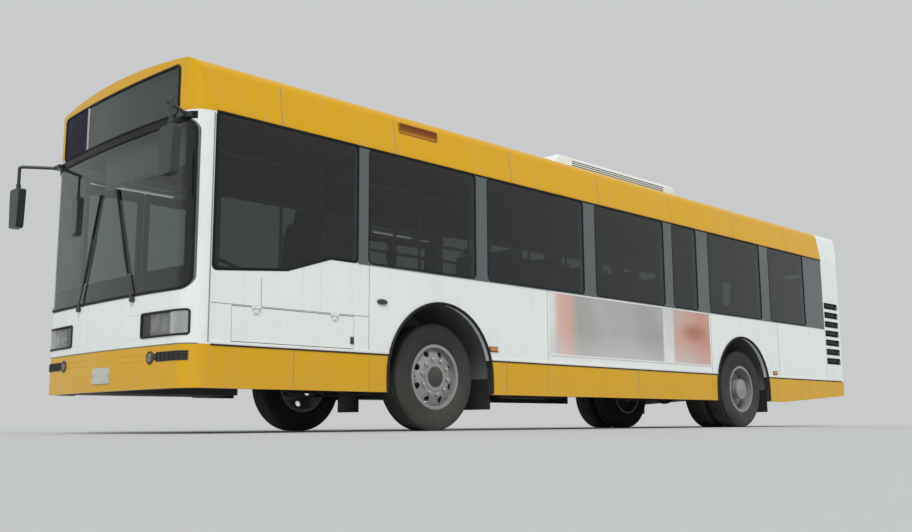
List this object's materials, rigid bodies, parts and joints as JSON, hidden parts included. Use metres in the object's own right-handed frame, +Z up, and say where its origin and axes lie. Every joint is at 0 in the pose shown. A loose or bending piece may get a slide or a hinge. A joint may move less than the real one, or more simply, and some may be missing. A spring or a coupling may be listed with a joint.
{
  "type": "city bus",
  "caption": "High-floor city bus with steered front axle, twin rear wheels, inward-gliding double doors, seats, cab, roof unit, lift-up hatches and a white and yellow body.",
  "frame": {"origin": "on the ground, midway along and across the whole bus with its mirrors", "axes": "+X towards the nose, +Y to the driver's side (left), +Z up"},
  "size_m": [11.79, 2.9954, 3.16],
  "materials": {
    "body_white": "gloss white coach paint",
    "body_yellow": "gloss yellow coach paint",
    "window_glass": "tinted safety glass",
    "lamp_clear": "clear lamp lens",
    "lamp_red": "red and amber lens",
    "frame_steel": "black chassis paint, dusty",
    "bellows_rubber": "moulded bellows rubber",
    "tyre_rubber": "worn tyre rubber",
    "wheel_grey": "silver-grey wheel paint, dusty",
    "door_frame": "dark grey door profiles",
    "floor_grey": "studded grey floor covering, dark underseal below",
    "hatch_grey": "white moulded hatch",
    "mirror_black": "grained black plastic",
    "cab_dark": "dark grained cab plastic",
    "seat_shell": "moulded blue seat shells with pads",
    "seat_cloth": "woven driver's seat cloth",
    "rail_yellow": "powder coated tube",
    "engine_iron": "grey cast iron",
    "tank_metal": "dark painted sheet"
  },
  "bodies": {
    "coachwork": {"air_springs": "bellows_rubber", "axles": "frame_steel", "body_windows": "window_glass", "bumpers": "body_yellow", "cab_podium": "floor_grey", "cross_members": "frame_steel", "dashboard": "cab_dark", "driver_partition": "cab_dark", "driver_seat": "seat_cloth", "engine": "engine_iron", "entrance_steps": "floor_grey", "floor": "floor_grey", "front_lamps": "lamp_clear", "front_panel": "body_white", "grab_rails": "rail_yellow", "left_wall": "body_white", "mirrors": "mirror_black", "passenger_seats": "seat_shell", "rear_deck": "floor_grey", "rear_lamps": "lamp_red", "rear_panel": "body_white", "right_wall": "body_white", "roof": "body_yellow", "roof_unit": "body_white", "skirt_panels": "body_yellow", "steering_wheel": "cab_dark", "underfloor_tanks": "tank_metal", "underframe": "frame_steel", "wheel_housings": "floor_grey", "windscreen": "window_glass", "wipers": "mirror_black"},
    "left_knuckle": {"left_knuckle": "frame_steel"},
    "right_knuckle": {"right_knuckle": "frame_steel"},
    "tie_rod": {"tie_rod": "frame_steel"},
    "engine_hatch": {"engine_hatch": "body_white"},
    "service_flap": {"service_flap": "body_white"},
    "front_roof_hatch": {"front_roof_hatch": "hatch_grey"},
    "rear_roof_hatch": {"rear_roof_hatch": "hatch_grey"},
    "front_left_wheel": {"front_left_rim": "wheel_grey", "front_left_tyre": "tyre_rubber"},
    "front_right_wheel": {"front_right_rim": "wheel_grey", "front_right_tyre": "tyre_rubber"},
    "rear_left_wheel": {"rear_left_rim": "wheel_grey", "rear_left_tyre": "tyre_rubber"},
    "rear_right_wheel": {"rear_right_rim": "wheel_grey", "rear_right_tyre": "tyre_rubber"},
    "front_door_front_post": {"front_door_front_post": "door_frame"},
    "front_door_front_leaf": {"front_door_front_leaf": "door_frame", "front_door_front_glass": "window_glass"},
    "front_door_rear_post": {"front_door_rear_post": "door_frame"},
    "front_door_rear_leaf": {"front_door_rear_leaf": "door_frame", "front_door_rear_glass": "window_glass"},
    "middle_door_front_post": {"middle_door_front_post": "door_frame"},
    "middle_door_front_leaf": {"middle_door_front_leaf": "door_frame", "middle_door_front_glass": "window_glass"},
    "middle_door_rear_post": {"middle_door_rear_post": "door_frame"},
    "middle_door_rear_leaf": {"middle_door_rear_leaf": "door_frame", "middle_door_rear_glass": "window_glass"}
  },
  "joints": [
    {"name": "steer_left", "type": "hinge", "parent": "coachwork", "child": "left_knuckle", "pos_m": [2.91, 0.93, 0.5], "axis": [0, 0, 1], "range_deg": [-40, 40]},
    {"name": "steer_right", "type": "hinge", "parent": "coachwork", "child": "right_knuckle", "pos_m": [2.91, -0.93, 0.5], "axis": [0, 0, 1], "range_deg": [-40, 40]},
    {"name": "tie_rod_eye", "type": "hinge", "parent": "left_knuckle", "child": "tie_rod", "pos_m": [2.72, 0.93, 0.38], "axis": [0, 0, 1], "range_deg": [-40, 40]},
    {"name": "spin_front_left", "type": "hinge", "parent": "left_knuckle", "child": "front_left_wheel", "pos_m": [2.91, 1.03, 0.5], "axis": [0, 1, 0], "continuous": true},
    {"name": "spin_rear_left", "type": "hinge", "parent": "coachwork", "child": "rear_left_wheel", "pos_m": [-2.69, 0.915, 0.5], "axis": [0, 1, 0], "continuous": true},
    {"name": "spin_front_right", "type": "hinge", "parent": "right_knuckle", "child": "front_right_wheel", "pos_m": [2.91, -1.03, 0.5], "axis": [0, 1, 0], "continuous": true},
    {"name": "spin_rear_right", "type": "hinge", "parent": "coachwork", "child": "rear_right_wheel", "pos_m": [-2.69, -0.915, 0.5], "axis": [0, 1, 0], "continuous": true},
    {"name": "front_door_front_post_turn", "type": "hinge", "parent": "coachwork", "child": "front_door_front_post", "pos_m": [5.305, -1.1425, 1], "axis": [0, 0, -1], "range_deg": [0, 90]},
    {"name": "front_door_front_leaf_turn", "type": "hinge", "parent": "front_door_front_post", "child": "front_door_front_leaf", "pos_m": [5.0115, -1.2325, 1], "axis": [0, 0, 1], "range_deg": [0, 180]},
    {"name": "front_door_rear_post_turn", "type": "hinge", "parent": "coachwork", "child": "front_door_rear_post", "pos_m": [4.045, -1.1425, 1], "axis": [0, 0, 1], "range_deg": [0, 90]},
    {"name": "front_door_rear_leaf_turn", "type": "hinge", "parent": "front_door_rear_post", "child": "front_door_rear_leaf", "pos_m": [4.3385, -1.2325, 1], "axis": [0, 0, -1], "range_deg": [0, 180]},
    {"name": "middle_door_front_post_turn", "type": "hinge", "parent": "coachwork", "child": "middle_door_front_post", "pos_m": [1.97495, -1.1425, 1], "axis": [0, 0, -1], "range_deg": [0, 90]},
    {"name": "middle_door_front_leaf_turn", "type": "hinge", "parent": "middle_door_front_post", "child": "middle_door_front_leaf", "pos_m": [1.68145, -1.2325, 1], "axis": [0, 0, 1], "range_deg": [0, 180]},
    {"name": "middle_door_rear_post_turn", "type": "hinge", "parent": "coachwork", "child": "middle_door_rear_post", "pos_m": [0.71495, -1.1425, 1], "axis": [0, 0, 1], "range_deg": [0, 90]},
    {"name": "middle_door_rear_leaf_turn", "type": "hinge", "parent": "middle_door_rear_post", "child": "middle_door_rear_leaf", "pos_m": [1.00845, -1.2325, 1], "axis": [0, 0, -1], "range_deg": [0, 180]},
    {"name": "engine_hatch_lift", "type": "hinge", "parent": "coachwork", "child": "engine_hatch", "pos_m": [-5.885, 0, 1.834], "axis": [0, 1, 0], "range_deg": [0, 85]},
    {"name": "service_flap_lift", "type": "hinge", "parent": "coachwork", "child": "service_flap", "pos_m": [4.6, 1.265, 0.979], "axis": [1, 0, 0], "range_deg": [0, 100]},
    {"name": "front_roof_hatch_lift", "type": "hinge", "parent": "coachwork", "child": "front_roof_hatch", "pos_m": [2.72408, 0, 3.035], "axis": [0, -1, 0], "range_deg": [0, 60]},
    {"name": "rear_roof_hatch_lift", "type": "hinge", "parent": "coachwork", "child": "rear_roof_hatch", "pos_m": [-3.97588, 0, 3.035], "axis": [0, -1, 0], "range_deg": [0, 60]}
  ],
  "couplings": [
    {"joint": "steer_right", "follows": "steer_left", "ratio": 1},
    {"joint": "tie_rod_eye", "follows": "steer_left", "ratio": -1},
    {"joint": "front_door_front_leaf_turn", "follows": "front_door_front_post_turn", "ratio": 2},
    {"joint": "front_door_rear_post_turn", "follows": "front_door_front_post_turn", "ratio": 1},
    {"joint": "front_door_rear_leaf_turn", "follows": "front_door_front_post_turn", "ratio": 2},
    {"joint": "middle_door_front_leaf_turn", "follows": "middle_door_front_post_turn", "ratio": 2},
    {"joint": "middle_door_rear_post_turn", "follows": "middle_door_front_post_turn", "ratio": 1},
    {"joint": "middle_door_rear_leaf_turn", "follows": "middle_door_front_post_turn", "ratio": 2}
  ]
}
